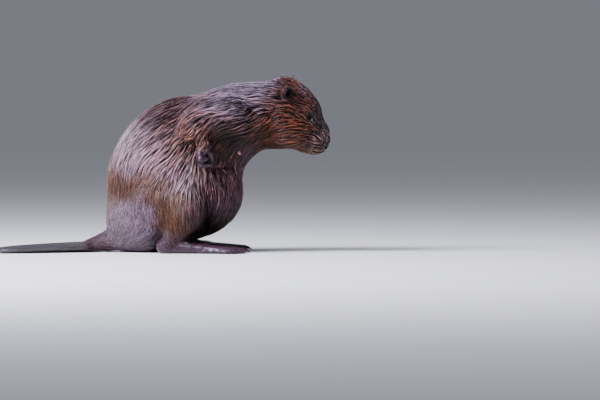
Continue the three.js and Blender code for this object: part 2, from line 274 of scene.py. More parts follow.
FOLDS = [  # where the loose skin folds or hollows, coat and all
    crease(7, 5, (264, 308), (254, 282), (252, 258), (260, 236)),  # behind the cheek
    crease(6, 4.5, (258, 246), (285, 238), (314, 228)),  # under the cheek
    crease(7, 9, (132, 173), (165, 176), (206, 184)),  # waist
    crease(9, 4.5, (-86, 56), (-72, 70), (-40, 75), (-12, 71), (16, 48)),  # over the heel's bulge
    crease(9, 8, (120, 118), (119, 80), (114, 30)),  # in front of the knee
    hollow((168, 210), (34, 30), 15),  # chest, behind the arm
    hollow((150, 240), (30, 16), 8),  # armpit
]


def folds(q):
    """How far all the folds and hollows sink in."""
    return sum(sink(q) for sink in FOLDS)


def to_left(p):
    """Both sides of the animal brought to its left side."""
    return np.abs(p) * (0, 1, 0) + p * (1, 0, 1)


def coat_top(p):
    """Distance from the surface that the coat's tips reach."""
    q = to_left(p)
    d = join(24, trunk_near(p), skull_near(p))
    d = join(18, d, tail_near(p))
    d = join(16, d, arm_near(q))
    d = join(12, d, thigh_near(q))
    d = np.minimum(join(4, d + folds(q), nose_near(p)), ear_near(q))
    return np.maximum(d, -p[:, 2])


COAT_DEPTH = {
    "body": 7.5,
    "haunch": 3.5,
    "nape": 6.0,
    "muzzle": 0.5,
    "thigh": 3.5,
    "arm": 4.5,
    "wrist": 1.5,
    "tail root": 4.0,
}
SOLE = 0.4  # the height of the hide's lowest points over what the animal sits on


def depth_between(one, other, x, lo, hi):
    """The coat's depth, which passes from one place's to another's as x goes from lo to hi."""
    return COAT_DEPTH[one] + (COAT_DEPTH[other] - COAT_DEPTH[one]) * ease(x, lo, hi)


def hide(p):
    """Distance from the skin under the coat, with the bare paws, feet, ears and nose."""
    q = to_left(p)
    reach = np.linalg.norm(p - NOSE_TIP, axis=1)
    on_skull = depth_between("muzzle", "nape", reach, 30, 150)
    on_arm = depth_between("wrist", "arm", p[:, 2], 226, 262)
    on_tail = COAT_DEPTH["tail root"] * ease(p[:, 0], -140, -110)
    on_body = depth_between("haunch", "body", p[:, 2], 70, 150)
    d = join(24, trunk_near(p) + on_body, skull_near(p) + on_skull)
    d = join(18, d, tail_near(p) + on_tail)
    d = join(22, d, arm_near(q) + on_arm)
    d = join(12, d, thigh_near(q) + COAT_DEPTH["thigh"] * ease(p[:, 2], 14, 50)) + folds(q)
    d = join(4, d, nose_near(p) + 0.9)
    d = join(5, d, foot_near(q))
    d = join(4, d, paw_near(q))
    d = join(3, d, ear_near(q) + 0.8)
    return np.maximum(d, SOLE - p[:, 2])


# The hide's fine forms: lids round the eye, nostrils, the mouth's line, the grooves of the face and
# the ear's cup.
EYE = np.array([342.0, 41.2, 275.0])
EYE_RADIUS = 6.3
LID_RING = 6.0  # the radius of the lids' opening, to the middle of the lids
LID_THICK = 1.05  # half the lids' thickness


def unit(v):
    """Vectors brought to a length of 1."""
    return v / np.maximum(np.linalg.norm(v, axis=-1, keepdims=True), 1e-9)


EYE_OUT = unit(np.array([0.30, 0.94, 0.12]))
EYE_UP = np.array([-0.35, 0.05, 0.93])
EYE_UP = unit(EYE_UP - EYE_OUT * (EYE_UP @ EYE_OUT))


def lids(p):
    """An oval ring round the eyeball, drawn in a little below."""
    q = p - EYE
    out, up, along = q @ EYE_OUT, q @ EYE_UP, q @ np.cross(EYE_OUT, EYE_UP)
    ring = np.hypot(up * 1.04, along / 1.08) - LID_RING
    return np.hypot(ring, out - 2.4 + 0.4 * np.tanh(up)) - LID_THICK


MOUTH = [(374, 0, 212), (367, 14, 211), (355, 28, 211), (338, 34, 213), (318, 31, 219)]
grooves = [
    groove(2.2, 5.0, *MOUTH),
    groove(1.3, 2.2, (381, 0, 240), (383, 0, 230), (376, 0, 213)),  # cleft of nose and upper lip
    groove(1.6, 1.8, (377, 7, 234), (371, 16, 231), (360, 24, 228)),  # over the nostril
    groove(5, 2.6, (362, 22, 262), (345, 38, 248), (332, 43, 232), (326, 36, 216)),  # behind the pad
    groove(3.5, 1.8, (352, 36, 290), (338, 47, 290), (322, 55, 284)),  # over the eye
    groove(3.0, 1.6, (353, 36, 268), (342, 44, 263), (330, 51, 266)),  # under the eye
]
nose_leather = fuse(4, nose_pad, mass((366, 15, 222), (9, 9, 10)))
nostril = fuse(
    2,
    mass((367, 18, 220.5), (4.8, 5.5, 4), 10, 40),  # mouth
    mass((361.5, 21.5, 225), (5, 3.4, 2.2), 25, 40),  # slit behind it
)


def fine_hide(p):
    """Distance from the skin with its fine forms."""
    q = to_left(p)
    d = hide(p)
    d = join(3, d, within(EYE - 10, EYE + 10, lids, 6)(q))
    d = np.maximum(d, EYE_RADIUS + 0.15 - np.linalg.norm(q - EYE, axis=1))
    d = np.maximum(d, -ear_cup(q))
    d = np.maximum(d, -nostril(q))
    for carve in grooves:
        d = d + carve(q)
    return np.maximum(d, SOLE - p[:, 2])


def slope(field, p, e=0.35):
    """A field's value and gradient at points."""
    value, gradient = 0, 0
    for k in np.array([[1, -1, -1], [-1, -1, 1], [-1, 1, -1], [1, 1, 1]]):
        d = field(p + e * k)
        value = value + d / 4
        gradient = gradient + d[:, None] * k / (4 * e)
    return value, gradient


def in_parts(field, p, size=120000):
    """A field's values at many points, taken in parts to spare memory."""
    return np.concatenate([field(p[i:i + size]) for i in range(0, len(p), size)])


def surface(field, xs, ys, zs, block=8):
    """The zero surface of a field as points and four-sided faces, one point in each crossed cell."""
    # The field is worked out only in the blocks of cells that the surface may pass through.
    axes = (xs, ys, zs)
    shape = tuple(len(a) for a in axes)
    starts = [np.arange(0, n - 1, block) for n in shape]
    mids = [(a[s] + a[np.minimum(s + block, len(a) - 1)]) / 2 for a, s in zip(axes, starts)]
    halves = [(a[np.minimum(s + block, len(a) - 1)] - a[s]) / 2 for a, s in zip(axes, starts)]
    centre = np.stack(np.meshgrid(*mids, indexing="ij"), -1).reshape(-1, 3)
    radius = np.linalg.norm(np.stack(np.meshgrid(*halves, indexing="ij"), -1), axis=-1).ravel()
    at_centre = in_parts(field, centre)
    corner = np.stack(np.meshgrid(*starts, indexing="ij"), -1).reshape(-1, 3)
    value = np.ones(shape)
    wanted = np.zeros(shape, bool)
    cells = np.zeros(tuple(n - 1 for n in shape), bool)
    for (i, j, k), d, r in zip(corner, at_centre, radius):
        if abs(d) < r + 5:
            wanted[i:i + block + 1, j:j + block + 1, k:k + block + 1] = True
            cells[i:i + block, j:j + block, k:k + block] = True
        elif d < 0:
            value[i:i + block + 1, j:j + block + 1, k:k + block + 1] = -1
    index = np.argwhere(wanted)
    value[wanted] = in_parts(field, np.stack([a[index[:, n]] for n, a in enumerate(axes)], -1))
    inside = value < 0

    # Each crossed cell's point is the mean of the crossings on its edges.
    corners = [(a, b, c) for a in (0, 1) for b in (0, 1) for c in (0, 1)]
    part = {o: tuple(slice(d, n - 1 + d) for d, n in zip(o, shape)) for o in corners}
    count = sum(inside[part[o]].astype(np.int8) for o in corners)
    mixed = (count > 0) & (count < 8) & cells
    cell = np.argwhere(mixed)
    number = np.full(mixed.shape, -1)
    number[mixed] = np.arange(len(cell))
    at = {o: value[part[o]][mixed] for o in corners}
    total, crossings = np.zeros((len(cell), 3)), np.zeros(len(cell))
    for o in corners:
        for axis in range(3):
            if o[axis]:
                continue
            end = tuple(1 if n == axis else v for n, v in enumerate(o))
            v0, v1 = at[o], at[end]
            crossed = (v0 < 0) != (v1 < 0)
            t = np.where(crossed, v0 / np.where(v0 == v1, 1, v0 - v1), 0)
            spot = np.array(o, float)[None] + t[:, None] * np.eye(3)[axis]
            total += spot * crossed[:, None]
            crossings += crossed
    total /= np.maximum(crossings, 1)[:, None]
    points = np.stack([a[cell[:, n]] + total[:, n] * (a[cell[:, n] + 1] - a[cell[:, n]])
                       for n, a in enumerate(axes)], -1)

    # Each crossed edge gives a face between the points of the four cells round it.
    faces = []
    for axis in range(3):
        u, v = (axis + 1) % 3, (axis + 2) % 3
        low = [slice(None)] * 3
        high = [slice(None)] * 3
        low[axis], high[axis] = slice(0, -1), slice(1, None)
        edge = np.argwhere(inside[tuple(low)] != inside[tuple(high)])
        edge = edge[((edge[:, [u, v]] > 0) & (edge[:, [u, v]] < np.array(shape)[[u, v]] - 1)).all(1)]
        ring = []
        for a, b in ((0, 0), (1, 0), (1, 1), (0, 1)):
            at_cell = edge.copy()
            at_cell[:, u] -= a
            at_cell[:, v] -= b
            ring.append(number[tuple(at_cell.T)])
        ring = np.stack(ring, -1)
        outward = inside[tuple(edge.T)]
        ring[~outward] = ring[~outward][:, ::-1]
        faces.append(ring[(ring >= 0).all(1)])
    return points, np.concatenate(faces)


def settle(field, p, turns=3, reach=1.6):
    """Points moved onto a field's zero surface, each by no more than reach."""
    start = p.copy()
    for _ in range(turns):
        d, g = slope(field, p)
        p = p - g * (d / np.maximum((g * g).sum(1), 0.2))[:, None]
        moved = p - start
        p = start + moved * np.minimum(1, reach / np.maximum(np.linalg.norm(moved, axis=1), 1e-9))[:, None]
    return p


# Cells are finest at the eyes and the paws, and finer at the feet and tail than on the trunk.
SPANS_X = [(-332, -112, 3.0), (-112, 92, 4.0), (92, 140, 1.3), (140, 236, 2.6), (236, 331, 1.5),
           (331, 353, 0.9), (353, 392, 1.5)]
SPANS_Y = [(-163.3, -128, 2.4), (-128, -90, 1.3), (-90, -50, 2.0), (-50, -34, 0.9), (-34, 34, 2.0),
           (34, 50, 0.9), (50, 90, 2.0), (90, 128, 1.3), (128, 164, 2.4)]
SPANS_Z = [(-3, 34, 1.7), (34, 176, 4.0), (176, 264, 1.7), (264, 286, 0.9), (286, 384, 1.7)]
grid = [np.concatenate([np.arange(*span) for span in spans]) for spans in (SPANS_X, SPANS_Y, SPANS_Z)]
skin_points, skin_faces = surface(fine_hide, *grid)
skin_points = settle(fine_hide, skin_points)

# How the coat lies and how it is marked. Each place on the side of the animal has the way its hair
# lies, its length, its lock width, how much it clumps when wet, and its colour. What is between the
# places is blended. The hide under the coat is coloured by the same markings. Some colours hold
# painted light: painted sky sheen on the wet brow, nape, neck, back, flanks and haunch, painted
# glints on the muzzle, and painted shade in the armpit, beside the arm and paw and under the belly.
PLACES = [
    # x, z         lie x, z        length width clump tint
    ((373, 262), (-0.45, 0.90), 6, 0.8, 0.4, "slate"),  # bridge of the snout
    # the muzzle's dark hair, with pale tips as painted glints, here and on the whisker pad
    ((366, 243), (-0.50, 0.75), 4, 0.8, 1.0, "soot_with_painted_glints"),  # behind the nose pad
    ((365, 223), (-0.60, 0.20), 4, 0.8, 0.9, "sepia"),  # beside the nostril
    ((354, 232), (-0.50, 0.75), 5, 0.9, 1.0, "soot_with_painted_glints"),  # whisker pad
    ((340, 240), (-0.75, 0.60), 6, 0.9, 1.0, "soot_with_painted_glints"),  # behind the whisker pad
    ((345, 211), (-0.80, -0.60), 6, 0.9, 1.0, "blush"),  # lip
    ((318, 208), (-0.90, -0.40), 8, 0.9, 0.9, "blush"),  # chin
    ((358, 296), (-0.50, 0.86), 10, 0.9, 0.2, "slate"),  # brow
    ((350, 284), (-0.60, 0.80), 6, 0.8, 0.7, "soot"),  # before the eye
    ((333, 270), (-0.98, 0.15), 13, 0.9, 0.8, "sepia"),  # behind the eye
    ((330, 288), (-0.90, 0.45), 13, 0.9, 0.8, "umber"),  # over the eye
    ((315, 309), (-0.80, 0.60), 22, 1.1, 0.9, "russet"),  # temple
    ((318, 260), (-1.00, 0.06), 25, 1.2, 0.9, "russet"),  # cheek
    ((306, 240), (-0.97, -0.10), 22, 1.1, 0.9, "russet"),  # lower cheek
    ((312, 224), (-0.95, -0.25), 15, 1.0, 0.5, "fawn"),  # jaw
    ((285, 228), (-0.90, -0.40), 16, 1.1, 0.4, "sepia"),  # under the jaw's corner
    ((280, 262), (-0.98, -0.10), 28, 1.3, 0.9, "russet"),  # back of the jaw
    ((257, 270), (-0.60, -0.80), 22, 1.4, 0.9, "russet"),  # ruff behind the cheek
    ((244, 240), (-0.70, -0.70), 16, 1.4, 0.6, "umber"),  # foot of the ruff
    ((330, 345), (-0.75, 0.60), 13, 1.0, 0.3, "slate"),  # forehead
    ((286, 363), (-0.85, 0.30), 24, 1.3, 0.9, "russet"),  # crown
    ((290, 340), (-0.60, 0.80), 7, 0.9, 0.3, "umber"),  # ear
    ((294, 310), (-1.00, 0.05), 26, 1.3, 0.9, "umber"),  # under the ear
    ((250, 310), (-1.00, -0.04), 34, 1.7, 0.9, "umber"),  # behind the ear
    ((240, 356), (-1.00, -0.02), 28, 1.8, 0.6, "haze"),  # nape
    ((180, 346), (-0.97, -0.20), 34, 2.0, 0.5, "haze"),  # top of the neck
    ((205, 312), (-1.00, -0.06), 36, 2.0, 1.0, "iris"),  # side of the neck
    ((212, 272), (-0.97, -0.15), 26, 1.7, 0.8, "sepia"),  # low side of the neck
    ((240, 222), (-0.75, -0.65), 16, 1.4, 0.4, "sepia"),  # throat
    ((122, 334), (-0.95, -0.32), 34, 2.0, 0.9, "walnut"),  # withers
    ((150, 306), (-0.94, -0.34), 38, 2.2, 1.0, "iris"),  # top of the shoulder
    ((170, 328), (-0.95, -0.20), 34, 2.0, 0.7, "haze"),  # hollow above the shoulder
    ((112, 288), (-0.86, -0.50), 38, 2.2, 1.0, "iris"),  # shoulder
    ((88, 256), (-0.74, -0.67), 38, 2.2, 1.0, "copper"),  # elbow
    ((160, 268), (-0.92, -0.30), 26, 1.9, 0.9, "sepia"),  # upper arm's lower edge
    ((136, 256), (-0.85, -0.50), 22, 1.7, 0.9, "sepia"),  # inside of the elbow
    ((60, 312), (-0.93, -0.37), 36, 2.0, 1.0, "walnut"),  # upper back
    ((0, 296), (-0.87, -0.49), 36, 2.0, 1.0, "plum"),  # back
    ((-48, 246), (-0.55, -0.83), 32, 2.0, 0.7, "sheen"),  # edge of the back
    ((35, 266), (-0.78, -0.62), 42, 2.2, 1.0, "plum"),  # upper flank
    ((22, 212), (-0.72, -0.69), 42, 2.2, 1.0, "lilac"),  # flank
    ((72, 205), (-0.55, -0.84), 42, 2.2, 1.0, "copper"),  # flank below the arm
    ((60, 160), (-0.40, -0.92), 34, 2.0, 0.8, "sheen"),  # low flank
    ((-52, 192), (-0.30, -0.95), 30, 2.0, 0.6, "sheen"),  # loin
    ((-86, 164), (-0.12, -1.00), 26, 1.9, 0.6, "hazel"),  # rump
    ((-94, 120), (-0.20, -0.98), 16, 1.5, 0.4, "hazel"),  # dry patch behind the haunch
    ((-56, 150), (-0.25, -0.97), 20, 1.3, 0.3, "hazel"),  # dry patch over the haunch
    ((-50, 128), (-0.20, -0.98), 14, 1.3, 0.2, "tan"),  # dry patch, lower edge
    ((-28, 142), (-0.22, -0.98), 18, 1.3, 0.2, "tan"),  # dry patch, hind part
    ((4, 150), (-0.25, -0.97), 18, 1.3, 0.4, "hazel"),  # dry patch, upper edge
    ((4, 124), (-0.15, -0.99), 17, 1.3, 0.2, "tan"),  # dry patch, middle
    ((32, 126), (-0.12, -0.99), 18, 1.3, 0.3, "tan"),  # dry patch, fore part
    ((40, 96), (0.05, -1.00), 16, 1.3, 0.2, "tan"),  # dry patch, over the knee
    ((64, 104), (0.05, -1.00), 16, 1.3, 0.3, "hazel"),  # dry patch, fore edge
    ((64, 74), (0.10, -1.00), 14, 1.3, 0.2, "tan"),  # dry patch, low end
    ((-20, 96), (-0.15, -0.98), 18, 1.4, 0.15, "heather"),  # thigh
    ((-100, 92), (-0.30, -0.95), 13, 1.5, 0.3, "hazel"),  # dry patch, down the rump's edge
    ((-64, 74), (-0.45, -0.89), 22, 1.5, 0.1, "mauve"),  # haunch
    ((-40, 50), (-0.60, -0.75), 18, 1.4, 0.1, "iris"),  # foot of the haunch
    ((88, 86), (0.08, -1.00), 16, 1.4, 0.4, "dusk"),  # knee
    ((128, 160), (0.30, -0.95), 32, 2.2, 0.9, "rose"),  # side of the belly
    ((172, 148), (0.35, -0.93), 28, 2.0, 0.9, "dusk"),  # front of the belly
    ((150, 100), (-0.12, -0.99), 26, 2.0, 0.8, "dusk"),  # low belly
    # painted shade: the near-black pitch tint under the belly
    ((130, 66), (-0.12, -0.99), 22, 1.8, 0.8, "pitch"),  # underside of the belly
    ((190, 208), (-0.35, -0.93), 13, 1.3, 0.4, "dusk"),  # breast
    # painted shade: the pitch tint between arm and chest and behind the paw
    ((136, 238), (-0.40, -0.90), 10, 1.2, 0.4, "pitch"),  # between arm and chest
    ((137, 206), (-0.30, -0.95), 10, 1.2, 0.4, "pitch"),  # behind the paw
    ((158, 204), (-0.60, -0.80), 12, 1.2, 0.6, "sepia"),  # chest behind the arm
    # painted shade: the pitch tint in the armpit
    ((165, 240), (-0.70, -0.70), 10, 1.2, 0.5, "pitch"),  # armpit
    ((114, 240), (-0.10, -1.00), 14, 1.3, 0.5, "umber"),  # wrist
    ((50, 24), (0.60, -0.60), 7, 1.0, 0.2, "dusk"),  # ankle
    ((-118, 30), (-1.00, -0.10), 13, 1.4, 0.3, "dusk"),  # root of the tail
]
# Lilac and blue-grey tips: the hair's own grey-brown with painted sky sheen. Brown tips are its own.
TINTS = {  # sRGB of the hair's shaft, and of its bleached or wet-shining tip
    # slate: painted sky sheen on the wet brow and snout, over the hair's own dark grey
    "slate": ("#1f1b22", "#5a5262"),
    "soot": ("#0e0a0a", "#6b5559"),
    "blush": ("#3a221c", "#a67a6e"),
    "umber": ("#22110b", "#6e3e2e"),
    "russet": ("#1d0b04", "#7f4023"),
    "copper": ("#3d2119", "#cc876a"),
    "fawn": ("#3f281d", "#93674c"),
    "hazel": ("#6a4536", "#a67862"),
    "tan": ("#523423", "#8b5c40"),
    # lilac and heather: the hair's own grey-brown with painted sky sheen in the tips
    "lilac": ("#583e47", "#e0b4c2"),
    "heather": ("#4f3c47", "#c8a4bb"),
    "plum": ("#211216", "#6e4b55"),
    "walnut": ("#120908", "#48302c"),
    # mauve: the haunch hair's own grey-brown with painted sky sheen in the tips
    "mauve": ("#947c88", "#e8cedb"),
    "rose": ("#2e1c1f", "#95696e"),
    "dusk": ("#25171b", "#75535e"),
    # sheen, haze and iris: the hair's own grey-brown with painted sky sheen in the tips
    "sheen": ("#634c58", "#e6c6d6"),
    "haze": ("#38303a", "#a999b1"),
    "iris": ("#2a2026", "#a98da0"),
    # dark muzzle hair whose pale tips are painted glints of its wet film
    "soot_with_painted_glints": ("#120a08", "#a88582"),
    # pitch: painted shade, for the armpit, beside the arm and paw, and under the belly
    "pitch": ("#080504", "#271914"),
    "sepia": ("#180b08", "#65402f"),
}


def linear(code):
    """A colour's sRGB hex value as linear red, green and blue."""
    c = np.array([int(code[i:i + 2], 16) / 255 for i in (1, 3, 5)])
    return np.where(c <= 0.04045, c / 12.92, ((c + 0.055) / 1.055) ** 2.4)


PLACE_AT = np.array([p[0] for p in PLACES], float)
PLACE_LIE = np.array([p[1] for p in PLACES], float)
PLACE_NUMBERS = np.array([p[2:5] for p in PLACES], float)
PLACE_SHAFT = np.array([linear(TINTS[p[5]][0]) for p in PLACES])
PLACE_TIP = np.array([linear(TINTS[p[5]][1]) for p in PLACES])


def ripple(p, size, seed):
    """Smooth noise between about -1 and 1, with waves of that size in millimetres."""
    waves = np.random.default_rng(seed)
    total = 0
    for _ in range(5):
        total = total + np.sin(p @ (waves.normal(size=3) * 2.4 / size) + waves.uniform(0, 6.28))
    return total / 2.6


def shares(p):
    """How much each place has to say about each point."""
    spread = 9 + 0.5 * PLACE_NUMBERS[:, 0]
    drift = np.stack([ripple(p, 30, 6), ripple(p, 30, 7)], -1) * 7 * ease(300 - p[:, 0], 0, 80)[:, None]
    away = ((p[:, None, ::2] + drift[:, None] - PLACE_AT[None]) ** 2).sum(-1)
    share = np.exp(-away / (2 * spread ** 2)) + 1e-9 / (1 + away)
    return share / share.sum(1, keepdims=True)


leather_near = within((345, -30, 205), (384, 32, 252), nose_leather)
LEATHER_EDGE = 0.8  # how far past the nose leather's own form it is still bare
mouth_line = thread(*MOUTH)


def bare(p):
    """Where no fur grows: nose leather, eyelids, mouth's line, paws, feet, the tail's scaly blade, and
    the worn spots that the animal sits on."""
    q = to_left(p)
    on_tail = (tail_near(p) < 3) & (p[:, 0] < -134 + 4 * ripple(p, 20, 5))
    on_eye = np.linalg.norm(q - EYE, axis=1) < 7.0
    on_paw = (paw_near(q) < np.minimum(arm_near(q) + 0.5, 1.5)) & (q[:, 2] < 217)
    on_foot = (foot_near(q) < np.minimum(thigh_near(q) - 2, 2.5)) & (q[:, 2] < 21)
    on_nose = leather_near(q) < LEATHER_EDGE
    sat_on = q[:, 2] < 3
    return on_tail | on_nose | on_eye | on_paw | sat_on | (mouth_line(q) < 2.6) | on_foot


# The skin's mesh and its finishes. Living hide under wet fur is dark and close-grained, and painted
# shade darkens it further under the coat. Paws, feet and nose are bare, damp, wrinkled skin like
# leather, and the tail's blade is covered in small scales.


def mesh_of(name, points, faces, materials, colour=None):
    """A smooth mesh in metres from points in millimetres and faces of one size."""
    mesh = bpy.data.meshes.new(name)
    sides = faces.shape[1]
    mesh.vertices.add(len(points))
    mesh.vertices.foreach_set("co", (points * 0.001).astype(np.float32).ravel())
    mesh.loops.add(faces.size)
    mesh.loops.foreach_set("vertex_index", faces.astype(np.int32).ravel())
    mesh.polygons.add(len(faces))
    mesh.polygons.foreach_set("loop_start", (np.arange(len(faces)) * sides).astype(np.int32))
    mesh.polygons.foreach_set("use_smooth", np.ones(len(faces), bool))
    for material in materials:
        mesh.materials.append(material)
    if colour is not None:
        markings_and_painted_light = mesh.attributes.new("markings_and_painted_light", "FLOAT_COLOR", "POINT")
        rgba = np.concatenate([colour, np.ones((len(colour), 1))], 1)
        markings_and_painted_light.data.foreach_set("color", rgba.astype(np.float32).ravel())
    mesh.update(calc_edges=True)
    piece = bpy.data.objects.new(name, mesh)
    bpy.context.scene.collection.objects.link(piece)
    return piece


def new_finish(name):
    """A material that waits for its nodes."""
    material = bpy.data.materials.new(name)
    material.use_nodes = True
    material.node_tree.nodes.clear()
    return material


def add_node(material, kind, inputs=None, **settings):
    """Adds a node with its settings, and sets or links its inputs."""
    node = material.node_tree.nodes.new(kind)
    for name, value in settings.items():
        setattr(node, name, value)
    for name, value in (inputs or {}).items():
        if isinstance(value, bpy.types.NodeSocket):
            material.node_tree.links.new(value, node.inputs[name])
        else:
            node.inputs[name].default_value = value
    return node


def paint(code):
    """A colour's sRGB hex value as a shader takes it."""
    return (*linear(code), 1)


# Living hide between wet hairs, with the coat's markings darkened: a dull, grainy dark that has no
# gloss. The dark is partly the hide's own and partly painted shade, so that it reads as depth. Its
# pores are too fine to show, and are drawn about 1 mm apart.
PORE = 1.11
hide_finish = new_finish("hide_under_wet_fur")
# the hide's colour, with its painted shade, comes from this attribute
markings_and_painted_light = add_node(hide_finish, "ShaderNodeAttribute", attribute_name="markings_and_painted_light")
place = add_node(hide_finish, "ShaderNodeTexCoord").outputs["Object"]
grain = add_node(hide_finish, "ShaderNodeTexNoise", {"Vector": place, "Scale": 1000 / PORE, "Detail": 3.0})
bump = add_node(hide_finish, "ShaderNodeBump", {
    "Height": grain.outputs["Fac"],
    "Strength": 0.6,
    "Distance": 0.0006,
})
shader = add_node(hide_finish, "ShaderNodeBsdfPrincipled", {
    "Base Color": markings_and_painted_light.outputs["Color"],
    "Roughness": 0.6,
    "Specular IOR Level": 0.15,
    "Normal": bump.outputs["Normal"],
})
add_node(hide_finish, "ShaderNodeOutputMaterial", {"Surface": shader.outputs["BSDF"]})

# Bare skin of paws and feet, wrinkled like fine leather and damp: a mottled purple-brown, with a film
# of water that gives small sharp glints on the wrinkles.
WRINKLE = 1.92
MOTTLE = 11.1
bare_finish = new_finish("damp_bare_skin")
place = add_node(bare_finish, "ShaderNodeTexCoord").outputs["Object"]
wrinkle = add_node(bare_finish, "ShaderNodeTexVoronoi", {
    "Vector": place,
    "Scale": 1000 / WRINKLE,
}, feature="DISTANCE_TO_EDGE")
mottle = add_node(bare_finish, "ShaderNodeTexNoise", {
    "Vector": place,
    "Scale": 1000 / MOTTLE,
    "Detail": 4.0,
})
tone = add_node(bare_finish, "ShaderNodeMix", {
    "Factor": mottle.outputs["Fac"],
    "A": paint("#140a0d"),
    "B": paint("#45293a"),
}, data_type="RGBA")
bump = add_node(bare_finish, "ShaderNodeBump", {
    "Height": wrinkle.outputs["Distance"],
    "Strength": 0.7,
    "Distance": 0.0009,
})
shader = add_node(bare_finish, "ShaderNodeBsdfPrincipled", {
    "Base Color": tone.outputs["Result"],
    "Roughness": 0.42,
    "Specular IOR Level": 0.2,
    "Coat Weight": 0.35,
    "Coat Roughness": 0.13,
    "Normal": bump.outputs["Normal"],
})
add_node(bare_finish, "ShaderNodeOutputMaterial", {"Surface": shader.outputs["BSDF"]})

# The tail's horny scales, grown edge to edge: slate-brown plates with darker seams between them, worn
# uneven by use, with a broad dull gloss where they are wet.
SCALE_LONG = 5.88  # along the tail
SCALE_WIDE = 4.35
SCALE_DEEP = 16.7  # deeper than the blade is thick, so that a scale doesn't end within it
WORN_PATCH = 14.3
scale_finish = new_finish("scaly_tail_hide")
place = add_node(scale_finish, "ShaderNodeTexCoord").outputs["Object"]
stretch = add_node(scale_finish, "ShaderNodeMapping", {
    "Vector": place,
    "Scale": (1000 / SCALE_LONG, 1000 / SCALE_WIDE, 1000 / SCALE_DEEP),
})
scales = add_node(scale_finish, "ShaderNodeTexVoronoi", {
    "Vector": stretch.outputs["Vector"],
    "Scale": 1.0,
    "Randomness": 0.62,
}, feature="DISTANCE_TO_EDGE")
plate = add_node(scale_finish, "ShaderNodeMapRange", {
    "Value": scales.outputs["Distance"],
    "From Max": 0.16,
})
worn = add_node(scale_finish, "ShaderNodeTexNoise", {
    "Vector": place,
    "Scale": 1000 / WORN_PATCH,
    "Detail": 5.0,
})
tone = add_node(scale_finish, "ShaderNodeMix", {
    "Factor": plate.outputs["Result"],
    "A": paint("#161112"),
    "B": paint("#40383a"),
}, data_type="RGBA")
plate_bump = add_node(scale_finish, "ShaderNodeBump", {
    "Height": plate.outputs["Result"],
    "Strength": 0.9,
    "Distance": 0.001,
})
bump = add_node(scale_finish, "ShaderNodeBump", {
    "Height": worn.outputs["Fac"],
    "Strength": 0.3,
    "Distance": 0.0015,
    "Normal": plate_bump.outputs["Normal"],
})
shader = add_node(scale_finish, "ShaderNodeBsdfPrincipled", {
    "Base Color": tone.outputs["Result"],
    "Roughness": 0.42,
    "Coat Weight": 0.25,
    "Coat Roughness": 0.25,
    "Normal": bump.outputs["Normal"],
})
add_node(scale_finish, "ShaderNodeOutputMaterial", {"Surface": shader.outputs["BSDF"]})

# The nose pad's pebbled leather, always wet: almost black, with a soft gloss broken by the pebbles.
PEBBLE = 1.11
nose_finish = new_finish("wet_nose_leather")
place = add_node(nose_finish, "ShaderNodeTexCoord").outputs["Object"]
pebble = add_node(nose_finish, "ShaderNodeTexVoronoi", {
    "Vector": place,
    "Scale": 1000 / PEBBLE,
}, feature="DISTANCE_TO_EDGE")
bump = add_node(nose_finish, "ShaderNodeBump", {
    "Height": pebble.outputs["Distance"],
    "Strength": 0.8,
    "Distance": 0.0007,
})
shader = add_node(nose_finish, "ShaderNodeBsdfPrincipled", {
    "Base Color": paint("#070505"),
    "Roughness": 0.4,
    "Specular IOR Level": 0.08,
    "Coat Weight": 0.3,
    "Coat Roughness": 0.12,
    "Normal": bump.outputs["Normal"],
})
add_node(nose_finish, "ShaderNodeOutputMaterial", {"Surface": shader.outputs["BSDF"]})

# The ear's inside, lined with fine down: very dark and matt. Real down is several times finer, too
# fine to show.
DOWN = 0.667
ear_finish = new_finish("downy_ear_lining")
place = add_node(ear_finish, "ShaderNodeTexCoord").outputs["Object"]
down = add_node(ear_finish, "ShaderNodeTexNoise", {"Vector": place, "Scale": 1000 / DOWN, "Detail": 3.0})
bump = add_node(ear_finish, "ShaderNodeBump", {
    "Height": down.outputs["Fac"],
    "Strength": 1.0,
    "Distance": 0.0008,
})
shader = add_node(ear_finish, "ShaderNodeBsdfPrincipled", {
    "Base Color": paint("#0c0706"),
    "Roughness": 0.8,
    "Specular IOR Level": 0.05,
    "Normal": bump.outputs["Normal"],
})
add_node(ear_finish, "ShaderNodeOutputMaterial", {"Surface": shader.outputs["BSDF"]})

# Eyelids: thin hairless skin, wetted by the eye. Their rim is a pale lilac line round the eyeball,
# which gives way to the dark of the face within a millimetre.
RIM = (6.7, 7.4)  # from the eye's middle, where the rim ends and the dark skin begins
lid_finish = new_finish("wet_eyelid")
place = add_node(lid_finish, "ShaderNodeTexCoord").outputs["Object"]
either_side = add_node(lid_finish, "ShaderNodeVectorMath", {0: place}, operation="ABSOLUTE")
from_eye = add_node(lid_finish, "ShaderNodeVectorMath", {
    0: either_side.outputs["Vector"],
    1: tuple(EYE * 0.001),
}, operation="DISTANCE")
off_rim = add_node(lid_finish, "ShaderNodeMapRange", {
    "Value": from_eye.outputs["Value"],
    "From Min": RIM[0] * 0.001,
    "From Max": RIM[1] * 0.001,
})
tone = add_node(lid_finish, "ShaderNodeMix", {
    "Factor": off_rim.outputs["Result"],
    "A": paint("#66556d"),
    "B": paint("#120a09"),
}, data_type="RGBA")
shader = add_node(lid_finish, "ShaderNodeBsdfPrincipled", {
    "Base Color": tone.outputs["Result"],
    "Roughness": 0.5,
    "Specular IOR Level": 0.25,
})
add_node(lid_finish, "ShaderNodeOutputMaterial", {"Surface": shader.outputs["BSDF"]})


def blended(p):
    """Every place's share in each of many points, taken in parts to spare memory."""
    return in_parts(shares, p, 60000)


